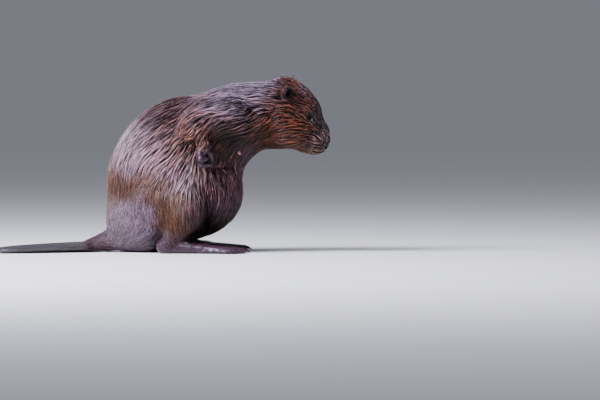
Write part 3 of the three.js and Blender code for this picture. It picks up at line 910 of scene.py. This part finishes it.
# painted shade: the hide under the fur is the hair's shaft colour darkened to this share
UNDER_FUR_SHADE = 0.16  # how dark the hide is beside the hair that grows from it
LID_REACH = 9.5  # from the eye's middle to the outer edge of the eyelids' bare skin
SKIN_FINISHES = [hide_finish, bare_finish, scale_finish, nose_finish, ear_finish, lid_finish]
FURRED, BARE, SCALY, NOSE, EAR_LINING, LID = range(6)
skin = mesh_of("skin", skin_points, skin_faces, SKIN_FINISHES,
               (blended(skin_points) @ PLACE_SHAFT) * UNDER_FUR_SHADE)
middle = skin_points[skin_faces].mean(1)
on_left = to_left(middle)
region = np.full(len(middle), FURRED, np.int32)
region[in_parts(bare, middle)] = BARE
region[leather_near(on_left) < LEATHER_EDGE] = NOSE
region[np.linalg.norm(on_left - EYE, axis=1) < LID_REACH] = LID
region[ear_cup(on_left) < 0.6] = EAR_LINING
region[(tail_near(middle) < 3) & (middle[:, 0] < -128)] = SCALY
skin.data.polygons.foreach_set("material_index", region)
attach(skin, "root")
FLESH = ["trunk", "neck", "head", "nose", "tail_root", "tail"]
for limb in ("hindleg", "hindfoot", "foreleg", "forepaw", "ear"):
    FLESH += [limb + "_left", limb + "_right"]
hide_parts(*FLESH)

# ---------------------------------------------------------------- the coat
# Wet guard hair in tapered locks: each is a thin three-sided blade rooted in the hide, that follows
# the lie of the coat, and leans in to its neighbours' tips where the coat is clumped. A lock stands
# for a small bundle of real hairs, which are too fine to show.
COVER = 3.38  # how many locks lie over any spot
chance = np.random.default_rng(11)
quads = skin_points[skin_faces]
area = 0.5 * np.linalg.norm(np.cross(quads[:, 2] - quads[:, 0], quads[:, 3] - quads[:, 1]), axis=1)
length, width, _ = (shares(middle) @ PLACE_NUMBERS).T
want = area * COVER / (0.5 * length * width) * np.isin(region, (FURRED, EAR_LINING, LID))
want[in_parts(bare, middle)] = 0
total = np.concatenate([[0], np.cumsum(want)])
count = int(total[-1])
pick = np.searchsorted(total, (np.arange(count) + chance.random(count)) * total[-1] / count) - 1
a, b = chance.random((2, count, 1))
quad = quads[pick]
root = (quad[:, 0] * (1 - a) + quad[:, 1] * a) * (1 - b) + (quad[:, 3] * (1 - a) + quad[:, 2] * a) * b

length, width, _ = (blended(root) @ PLACE_NUMBERS).T
length = length * chance.uniform(0.75, 1.35, count)
width = width * 0.5 * np.exp(chance.normal(0, 0.3, count))
on_left = to_left(root)
by_paw = (arm_near(on_left) < trunk_near(root)) * (1 - ease(paw_near(on_left), 2, 45))
length = length * (1 - 0.5 * by_paw)  # the wrist's hair is short


def lie_at(p, share):
    """The way the hair lies at each point, with the coat's slow waves."""
    x, z = (share @ PLACE_LIE).T
    bend = (0.20 * ripple(p, 26, 3) + 0.08 * ripple(p, 9, 4)) * (0.05 + share @ PLACE_NUMBERS[:, 2])
    return unit(np.stack([x * np.cos(bend) - z * np.sin(bend), 0.10 * np.sign(p[:, 1]),
                          x * np.sin(bend) + z * np.cos(bend)], -1))


# Each lock's way over the hide, from its root, in steps along the lie of the coat.
LOCK_RINGS = 3  # before the tip
ALONG = np.linspace(0, 1, LOCK_RINGS + 1)
p = root
gradient = slope(hide, root)[1]
ground, normal = [root], [unit(gradient)]
for _ in range(LOCK_RINGS):
    lie = lie_at(p, blended(p))
    lie = unit(lie - normal[-1] * (lie * normal[-1]).sum(1, keepdims=True))
    p = p + lie * (length / LOCK_RINGS)[:, None]
    value, gradient = slope(hide, p)
    p = p - gradient * (value / np.maximum((gradient ** 2).sum(1), 0.2))[:, None]
    ground.append(p)
    normal.append(unit(gradient))


def speckle(p, size, seed):
    """Random values on a lattice of that spacing in millimetres, smoothly joined."""
    table = np.random.default_rng(seed).random((64, 64, 64))
    cell = np.floor(p / size).astype(int)
    t = p / size - cell
    t = t * t * (3 - 2 * t)
    total = 0
    for corner in np.ndindex(2, 2, 2):
        weight = np.where(corner, t, 1 - t).prod(1)
        total = total + weight * table[tuple(((cell + corner) % 64).T)]
    return total


# A wet coat draws together in strands. Each lock's strand value is the mean of fine random speckle
# along its own way over the hide, so that locks in one line agree. Locks lean to the best line near.
BODY_STRAND = 4.2  # from one strand of clumped hair to the next
FACE_STRAND = 3.2
NEIGHBOURS = 10
DRAWN_FROM = 3.4  # how far a lock is drawn to a neighbour
steps = [one * (1 - f) + two * f for one, two in zip(ground, ground[1:]) for f in (0, 0.25, 0.5, 0.75)]
strand_values = []
for pitch, number in ((BODY_STRAND, 21), (FACE_STRAND, 22)):
    mean = sum(speckle(step, pitch / 2, number) for step in steps) / len(steps)
    strand_values.append((mean - mean.mean()) / mean.std())
on_face = ease(root[:, 0] + 0.3 * root[:, 2], 310, 345)
strand_value = strand_values[0] * (1 - on_face) + strand_values[1] * on_face
tree = kdtree.KDTree(count)
for n, at in enumerate(ground[1]):
    tree.insert(at, n)
tree.balance()
leader = np.arange(count)
for n, at in enumerate(ground[1]):
    near = [found[1] for found in tree.find_n(at, NEIGHBOURS) if found[2] < DRAWN_FROM]
    leader[n] = near[int(np.argmax(strand_value[near]))]

# The hair stands off the hide towards its tip, where it stops within the coat's own depth, and the
# clumped locks are drawn to their leader.
share = blended(ground[2])
clump = share @ PLACE_NUMBERS[:, 2]
depth = np.clip(-in_parts(coat_top, root), 0.6, 12)
lift = np.minimum(depth, 0.2 * length) * chance.uniform(0.4, 1.0, count)
lift *= (0.45 + 0.55 * ease(strand_value, -1.2, 1)) * (0.4 + 0.6 * clump)
ground, normal = np.stack(ground, 1), np.stack(normal, 1)
path = ground + normal * (lift[:, None] * (1 - (1 - ALONG) ** 2.2))[..., None]
pull = (clump * chance.uniform(0.6, 0.95, count))[:, None, None] * (ALONG ** 0.8)[None, :, None]
shift = path[leader] - path
ahead = unit(path[:, -1] - path[:, 0])[:, None]
shift -= ahead * (shift * ahead).sum(-1, keepdims=True)
path = path + shift * pull
path[:, 0] -= normal[:, 0] * 0.6  # the root is sunk in the hide
path[..., 2] = np.maximum(path[..., 2], 0.6)

# No lock lies over the ear's cup, and the ear's own hair stands out past its rim.
on_ear = ear_near(on_left) < 1.6
in_cup = ear_cup(on_left) < 0.5
over_cup = ~on_ear & (np.min([ear_cup(to_left(ground[:, k])) for k in range(1, LOCK_RINGS + 1)], 0) < 1)
over_cup &= ground[:, -1, 2] > EAR[2] - 6
path[over_cup] = root[over_cup][:, None] + (path[over_cup] - root[over_cup][:, None]) * 0.3
fringe = (on_left[on_ear] - EAR) * (1, 0.35, 1) + (-3, 0, 4)
fringe = unit(fringe) * np.where(root[on_ear, 1:2] < 0, (1, -1, 1), 1)
fringe = unit(fringe + chance.normal(0, 0.22, fringe.shape))
fringe = (fringe * chance.uniform(2.4, 5.6, (on_ear.sum(), 1)))[:, None] * ALONG[None, :, None]
path[on_ear] = root[on_ear][:, None] + fringe + np.array([-2.2, 0, -0.8]) * (ALONG ** 2)[:, None]

# Here and there a few wet locks stick together and stand up from the crown and the back.
TUFTS = [  # along the body, height, half width, number, how far the tips stand off and lie back
    ((264, 308), (340, 400), 34, 32, (5, 11), (1, 13)),  # crown
    ((-80, 60), (150, 330), 22, 26, (3, 5.5), (10, 18)),  # back
]
for (x0, x1), (z0, z1), half, number, rise, reach in TUFTS:
    there = (root[:, 0] > x0) & (root[:, 0] < x1) & (root[:, 2] > z0) & (root[:, 2] < z1)
    there &= abs(root[:, 1]) < half
    for centre in chance.choice(np.flatnonzero(there), number, replace=False):
        close = np.argsort(((root - root[centre]) ** 2).sum(1))[:7]
        way = unit(path[centre, 2] - root[centre])
        out = unit(slope(hide, root[[centre]])[1][0])
        up, over = out * chance.uniform(*rise), way * chance.uniform(*reach) + chance.normal(0, 1.8, 3)
        arc = up * (1 - (1 - ALONG) ** 1.7)[:, None] + over * (ALONG ** 2)[:, None]
        gather = (root[centre] - root[close])[:, None] * (ALONG ** 0.7)[None, :, None]
        path[close] = root[close][:, None] + gather * 0.9 + arc * chance.uniform(0.8, 1, (len(close), 1, 1))
        width[close] *= 0.75

# The blades' points: at each ring a left edge, a ridge and a right edge, and one point at the tip.
RING_WIDTHS = np.array([0.8, 1.0, 0.75, 0.0])
LOWEST_HAIR = 0.3
POINTS_EACH = 3 * LOCK_RINGS + 1
run = np.gradient(path, axis=1)
out = np.stack([unit(slope(hide, path[:, k])[1]) for k in range(LOCK_RINGS + 1)], 1)
roll = (chance.normal(0, 0.3, count) * (0.3 + 0.7 * clump))[:, None, None]
side = unit(np.cross(run, out))
top = unit(np.cross(side, run))
side, top = side * np.cos(roll) + top * np.sin(roll), top * np.cos(roll) - side * np.sin(roll)
full = ((width / 2)[:, None] * RING_WIDTHS[None])[..., None]
ridge = path + top * full * (0.2 + 0.6 * clump)[:, None, None]
rings = np.stack([path - side * full, ridge, path + side * full], 2)[:, :LOCK_RINGS]
points = np.concatenate([rings.reshape(count, -1, 3), path[:, -1:]], 1)
points[..., 2] = np.maximum(points[..., 2], LOWEST_HAIR)

lock_faces = [(0, 2, 1)]
for k in range(LOCK_RINGS - 1):
    for s in range(3):
        i, j = 3 * k + s, 3 * k + (s + 1) % 3
        lock_faces += [(i, j, i + 3), (j, j + 3, i + 3)]
last = 3 * (LOCK_RINGS - 1)
lock_faces += [(last + s, last + (s + 1) % 3, POINTS_EACH - 1) for s in range(3)]
lock_faces = np.array(lock_faces)

# Each lock is darkened towards its root, as painted shade deep in the coat, and pale at its tip.
# Raised strands are paler than the lines between them, as painted highlight on the strands and painted
# shade in the lines, and about one lock in five is a warmer brown.
BRIGHTEST = 0.62
along = np.concatenate([np.repeat(ALONG[:-1], 3), [1]])
# painted highlight and shade: strands that stand highest are paler, the lines between them darker
strand_highlight_and_shade = np.minimum((0.01 + 0.87 * clump) * strand_value, 0.9)
# painted shade: hair in the ear's cup is darkened to three tenths, the ear's other hair a little
in_ear = np.where(on_ear, np.where(in_cup, 0.3, 0.85), 1)
tone = np.exp(chance.normal(0, 0.15, count) * (0.4 + 0.6 * clump) + strand_highlight_and_shade) * in_ear
warm = (chance.random(count) < 0.22)[:, None, None] * (0.2 + 0.8 * clump)[:, None, None]
warm = 1 + warm * [[[0.25, -0.02, -0.2]]]
shaft, tip = share @ PLACE_SHAFT, share @ PLACE_TIP
# painted highlight: the tips of the highest strands are paler still
pale = (1 + 0.6 * ease(strand_value, 0.9, 1.6) * clump)[:, None, None]
mix = ease(along, 0.3, 0.8)[None, :, None]
# painted shade: each lock darkens towards its root, deep in the coat
dark = (0.06 + 0.94 * ease(along, 0.1, 0.75))[None, :, None]
tints = shaft[:, None] * 0.4 * (1 - mix) + tip[:, None] * 0.62 * mix * pale
tints = tints * dark * tone[:, None, None] * warm
tints *= np.minimum(1, BRIGHTEST / tints.max(-1, keepdims=True))

# Guard hair is smooth keratin, here under a thin film of water: long soft glints along the locks,
# broken up by the hairs of each bundle, which are drawn on the strand map at their real width.
HAIR_WIDTH = 0.1
MAP_ACROSS = 2.0  # units of the strand map to a millimetre across a lock
MAP_ALONG = 0.12  # and to a millimetre along it, so that each hair is drawn long and thin
coat_finish = new_finish("wet_guard_hair")
# the locks' colours, with painted sky sheen, glints and shade, come from this attribute
markings_and_painted_light = add_node(coat_finish, "ShaderNodeAttribute", attribute_name="markings_and_painted_light")
strand = add_node(coat_finish, "ShaderNodeUVMap", uv_map="strand")
fibre = add_node(coat_finish, "ShaderNodeTexNoise", {
    "Vector": strand.outputs["UV"],
    "Scale": 1 / (HAIR_WIDTH * MAP_ACROSS),
    "Detail": 2.0,
})
bump = add_node(coat_finish, "ShaderNodeBump", {
    "Height": fibre.outputs["Fac"],
    "Strength": 0.35,
    "Distance": 0.0005,
})
shader = add_node(coat_finish, "ShaderNodeBsdfPrincipled", {
    "Base Color": markings_and_painted_light.outputs["Color"],
    "Roughness": 0.3,
    "Specular IOR Level": 0.32,
    "Coat Weight": 0.15,
    "Coat Roughness": 0.2,
    "Normal": bump.outputs["Normal"],
})
add_node(coat_finish, "ShaderNodeOutputMaterial", {"Surface": shader.outputs["BSDF"]})

SPINE = np.array([(-60, 0, 60), (60, 0, 190), (210, 0, 290), (372, 0, 238)], float)


def unwrap(p):
    """Each point's place on the flattened hide: along the spine, and round it. Limbs and tail have
    their own strips under the body's."""
    best, along, around = np.full(len(p), FAR), np.zeros(len(p)), np.zeros(len(p))
    gone = 0
    for a, b in zip(SPINE, SPINE[1:]):
        run = b - a
        size = np.linalg.norm(run)
        t = np.clip((p - a) @ run / size ** 2, 0, 1)
        off = p - a - t[:, None] * run
        away = np.linalg.norm(off, axis=1)
        nearer = away < best
        up = np.cross(run / size, (0, 1, 0))
        angle = np.arctan2(off[:, 1], off @ -up)
        best = np.where(nearer, away, best)
        along = np.where(nearer, gone + t * size, along)
        around = np.where(nearer, angle, around)
        gone += size
    u = 0.02 + 0.95 * along / gone
    v = 0.32 + 0.65 * (around / (2 * np.pi) + 0.5)
    q = to_left(p)
    body = trunk_near(p)
    strips = [(arm_near(q), WRIST, SHOULDER), (thigh_near(q), HEEL, (32, 84, 98)),
              (tail_near(p), (-140, 0, 20), (-40, 0, 30))]
    for n, (field, a, b) in enumerate(strips):
        a, run = np.array(a, float), np.array(b, float) - np.array(a, float)
        size = np.linalg.norm(run)
        own = field < body - 1
        off = q - a
        x = 0.02 + 0.12 * np.clip(off @ run / size ** 2 * 0.7 + 0.15, 0, 1)
        x = x + 0.16 * (2 * n + (p[:, 1] < 0))
        across = np.cross(run / size, (0.3, 1, 0.2))
        lift_axis = np.cross(across, run / size)
        y = 0.03 + 0.25 * (np.arctan2(off @ across, off @ lift_axis) / (2 * np.pi) + 0.5)
        u, v = np.where(own, x, u), np.where(own, y, v)
    return np.stack([u, v], -1)


# Two maps. OFBake is for a baked finish: a lock lies where its root lies on the flattened hide. strand
# is for the hairs of the bundle: they run along the lock, at the same size on every lock.
LOCK_ON_MAP = 0.003  # a lock's size on the OFBake map
across = np.concatenate([np.tile([0.0, 0.5, 1.0], LOCK_RINGS), [0.5]])
bake_map = unwrap(root)[:, None] + LOCK_ON_MAP * np.stack([across, along], -1)[None]
strand_map = np.stack([across[None] * (width * MAP_ACROSS)[:, None] + chance.random((count, 1)) * 50,
                       along[None] * (length * MAP_ALONG)[:, None] + chance.random((count, 1)) * 50], -1)

BANDS = 8  # the coat's pieces, from rump to muzzle, with about as many locks in each
order = np.argsort(root[:, 0] + 0.3 * root[:, 2])
for n, chosen in enumerate(np.array_split(order, BANDS)):
    faces = (lock_faces[None] + POINTS_EACH * np.arange(len(chosen))[:, None, None]).reshape(-1, 3)
    piece = mesh_of(f"coat_{n + 1}", points[chosen].reshape(-1, 3), faces, [coat_finish],
                    tints[chosen].reshape(-1, 3))
    for layer, uv in (("OFBake", bake_map), ("strand", strand_map)):
        data = uv[chosen].reshape(-1, 2)[faces.ravel()]
        piece.data.uv_layers.new(name=layer).data.foreach_set("uv", data.astype(np.float32).ravel())
    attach(piece, "root")

# ---------------------------------------------------------------- the eyes
# A beaver's eye: a small, nearly black ball that sits in its socket and shows between the lids. Its
# clear front is always wet.

# Dark iris under a wet cornea: near black, with no sheen of its own and one sharp reflection.
eye_finish = new_finish("wet_dark_eye")
shader = add_node(eye_finish, "ShaderNodeBsdfPrincipled", {
    "Base Color": paint("#0c0605"),
    "Roughness": 0.3,
    "Specular IOR Level": 0.0,
    "Coat Weight": 1.0,
    "Coat IOR": 1.43,
    "Coat Roughness": 0.02,
})
add_node(eye_finish, "ShaderNodeOutputMaterial", {"Surface": shader.outputs["BSDF"]})
for name, sign in (("left", 1), ("right", -1)):
    bpy.ops.mesh.primitive_uv_sphere_add(segments=48, ring_count=24, radius=EYE_RADIUS * 0.001,
                                         location=tuple(EYE * (1, sign, 1) * 0.001))
    eye = bpy.context.object
    eye.name = "eyeball_" + name
    eye.data.materials.append(eye_finish)
    eye.data.polygons.foreach_set("use_smooth", np.ones(len(eye.data.polygons), bool))
    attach(eye, "root")
    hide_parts("eye_" + name)

# ---------------------------------------------------------------- the claws
# Horn: blunt, slightly hooked claws that grow out of the tip of every toe and finger, long and broad
# on the hind foot and slim on the forepaw.
TOE_CLAW = [(-2, 0, 3.6), (4, 1.5, 3.2), (9, 0.5, 2.2), (14, -3.2, 0.7)]  # ahead, up, half thickness
FINGER_CLAW = [(-1, 0, 3.0), (3, 0, 2.5), (6, 0.6, 1.6), (8, 1.6, 0.5)]


def horns(paths, radii, sides=8):
    """Tapered curved rods, joined in one mesh. Each path is a list of points."""
    points, faces = [], []
    for line, thick in zip(paths, radii):
        line = np.array(line, float)
        run = unit(np.gradient(line, axis=0))
        side = unit(np.cross(run, (0.2, 0.3, 1)))
        top = np.cross(side, run)
        start = sum(len(p) for p in points)
        turn = np.arange(sides) * 2 * np.pi / sides
        ring = np.cos(turn)[None, :, None] * side[:, None] + np.sin(turn)[None, :, None] * top[:, None]
        points.append((line[:, None] + ring * np.array(thick)[:, None, None]).reshape(-1, 3))
        for k in range(len(line) - 1):
            for s in range(sides):
                i, j = start + k * sides + s, start + k * sides + (s + 1) % sides
                faces.append((i, j, j + sides, i + sides))
    return np.concatenate(points), np.array(faces)


# Horn worn smooth in mud and water: dark brown, with an even, low gloss.
claw_finish = new_finish("dark_horn")
shader = add_node(claw_finish, "ShaderNodeBsdfPrincipled", {
    "Base Color": paint("#2a2020"),
    "Roughness": 0.35,
})
add_node(claw_finish, "ShaderNodeOutputMaterial", {"Surface": shader.outputs["BSDF"]})
claw_paths, claw_radii = [], []
for sign in (1, -1):
    for digits, claw in ((TOES, TOE_CLAW), (FINGERS, FINGER_CLAW)):
        for *_, joint, end in digits:
            end = np.array(end, float)
            ahead = unit(end - np.array(joint, float))
            line = [end + ahead * far + (0, 0, up) for far, up, thick in claw]
            claw_paths.append(np.array(line) * (1, sign, 1))
            claw_radii.append([thick for far, up, thick in claw])
claws = mesh_of("claws", *horns(claw_paths, claw_radii), [claw_finish])
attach(claws, "root")

# ---------------------------------------------------------------- the whiskers
# Stiff tapered bristles of the same horn as the claws, in four rows on each side of the muzzle, rooted
# in the whisker pad and swept back and down.
ROWS = 4
WHISKER = [0.35, 0.3, 0.24, 0.16, 0.05]  # half thickness from root to tip
whisker_paths, whisker_radii = [], []
for sign in (1, -1):
    for n in range(4 * ROWS):
        spot = np.array([356 - 4.5 * (n % 4), 30 + 2.0 * (n % 4), 240 - 6 * (n // 4)], float)
        value, out = slope(hide, spot[None])
        spot = spot - out[0] * value[0]
        way = unit(out[0] * 0.7 + np.array([-0.6, 0.3, -0.25 + 0.05 * (n // 4)]))
        reach = 22 + 14 * chance.random()
        line = [spot + way * reach * t + np.array([-6, 0, -5]) * t * t for t in (0, 0.25, 0.5, 0.75, 1)]
        whisker_paths.append(np.array(line) * (1, sign, 1))
        whisker_radii.append(WHISKER)
whiskers = mesh_of("whiskers", *horns(whisker_paths, whisker_radii, 4), [claw_finish])
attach(whiskers, "root")

# ---------------------------------------------------------------- the teats
# A nursing female's teats: two soft cones of bare skin that stand out of the chest's short hair, one
# on each side, a little forward and down.
TEAT_AT = np.array([[189.0, 60.0, 204.0]])
TEAT_ALONG = np.array([[-1], [1], [3.5], [6], [7], [7.3]])  # out from the hide
TEAT_RADII = [3.5, 3.1, 2.5, 2.3, 1.5, 0.2]
FLUSH = 2.5

# Thin living skin with the blood close under it: a soft pink, mottled, with a low damp sheen.
teat_finish = new_finish("pink_bare_skin")
place = add_node(teat_finish, "ShaderNodeTexCoord").outputs["Object"]
flush = add_node(teat_finish, "ShaderNodeTexNoise", {"Vector": place, "Scale": 1000 / FLUSH, "Detail": 2.0})
tone = add_node(teat_finish, "ShaderNodeMix", {
    "Factor": flush.outputs["Fac"],
    "A": paint("#a05e5e"),
    "B": paint("#c98984"),
}, data_type="RGBA")
bump = add_node(teat_finish, "ShaderNodeBump", {
    "Height": flush.outputs["Fac"],
    "Strength": 0.4,
    "Distance": 0.0005,
})
shader = add_node(teat_finish, "ShaderNodeBsdfPrincipled", {
    "Base Color": tone.outputs["Result"],
    "Roughness": 0.45,
    "Normal": bump.outputs["Normal"],
})
add_node(teat_finish, "ShaderNodeOutputMaterial", {"Surface": shader.outputs["BSDF"]})
foot_of_teat = settle(hide, TEAT_AT, turns=8, reach=40)
out = unit(slope(hide, foot_of_teat)[1])[0] + (0.15, 0, -0.25)
line = foot_of_teat + out * TEAT_ALONG
both = [line * (1, sign, 1) for sign in (1, -1)]
teats = mesh_of("teats", *horns(both, [TEAT_RADII] * 2, 12), [teat_finish])
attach(teats, "root")

# ---------------------------------------------------------------- the studio
# A pale, wide floor in a pale room. A broad soft light stands high behind the animal's right haunch,
# and a weaker one nearer to the camera, which looks at the animal's right side.

# Painted board, matt: a pale even grey with no gloss, so that only the soft shadow shows on it.
floor_finish = new_finish("pale_studio_floor")
shader = add_node(floor_finish, "ShaderNodeBsdfPrincipled", {
    "Base Color": paint("#dedcd9"),
    "Roughness": 0.9,
    "Specular IOR Level": 0.0,
})
add_node(floor_finish, "ShaderNodeOutputMaterial", {"Surface": shader.outputs["BSDF"]})
bpy.ops.mesh.primitive_plane_add(size=1600)
floor = bpy.context.object
floor.name = "floor"
floor.data.materials.append(floor_finish)


def soft_light(name, at, aim, size, power, tint):
    """A round lamp at a place in metres, turned to its aim."""
    lamp = bpy.data.lights.new(name, "AREA")
    lamp.shape = "DISK"
    lamp.size = size
    lamp.energy = power
    lamp.color = linear(tint)
    holder = bpy.data.objects.new(name, lamp)
    holder.location = at
    way = Vector(np.array(aim) - np.array(at))
    holder.rotation_euler = way.to_track_quat("-Z", "Y").to_euler()
    bpy.context.scene.collection.objects.link(holder)


soft_light("sky", (-2.0, -1.5, 2.3), (0.05, 0, 0.15), 2.0, 440, "#e8ebff")
soft_light("front", (-0.63, -1.96, 1.74), (0.3, 0, 0.25), 1.2, 34, "#eef0ff")
world = bpy.data.worlds.new("pale_room")
bpy.context.scene.world = world
world.use_nodes = True
room = add_node(world, "ShaderNodeTexCoord").outputs["Generated"]
height = add_node(world, "ShaderNodeSeparateXYZ", {"Vector": room}).outputs["Z"]
upper = add_node(world, "ShaderNodeMapRange", {"Value": height, "From Min": 0.05, "From Max": 0.8})
wall = add_node(world, "ShaderNodeMix", {
    "Factor": upper.outputs["Result"],
    "A": paint("#7b7c85"),
    "B": paint("#9396a2"),
}, data_type="RGBA")
world.node_tree.links.new(wall.outputs["Result"], world.node_tree.nodes["Background"].inputs["Color"])

PIXEL = 0.0021  # metres across the animal for each pixel of the frame
FRAME_WIDTH = 600  # pixels
SENSOR = 36
DISTANCE = 10.0
ELEVATION = np.radians(1.2)
AIM = np.array([0.315, 0, 0.109])
lens = bpy.data.cameras.new("camera")
lens.sensor_width = SENSOR
lens.lens = SENSOR * DISTANCE / (FRAME_WIDTH * PIXEL)
lens.clip_end = 2000
camera = bpy.data.objects.new("camera", lens)
camera.location = AIM + DISTANCE * np.array([0, -np.cos(ELEVATION), np.sin(ELEVATION)])
camera.rotation_euler = (np.pi / 2 - ELEVATION, 0, 0)
bpy.context.scene.collection.objects.link(camera)
bpy.context.scene.camera = camera
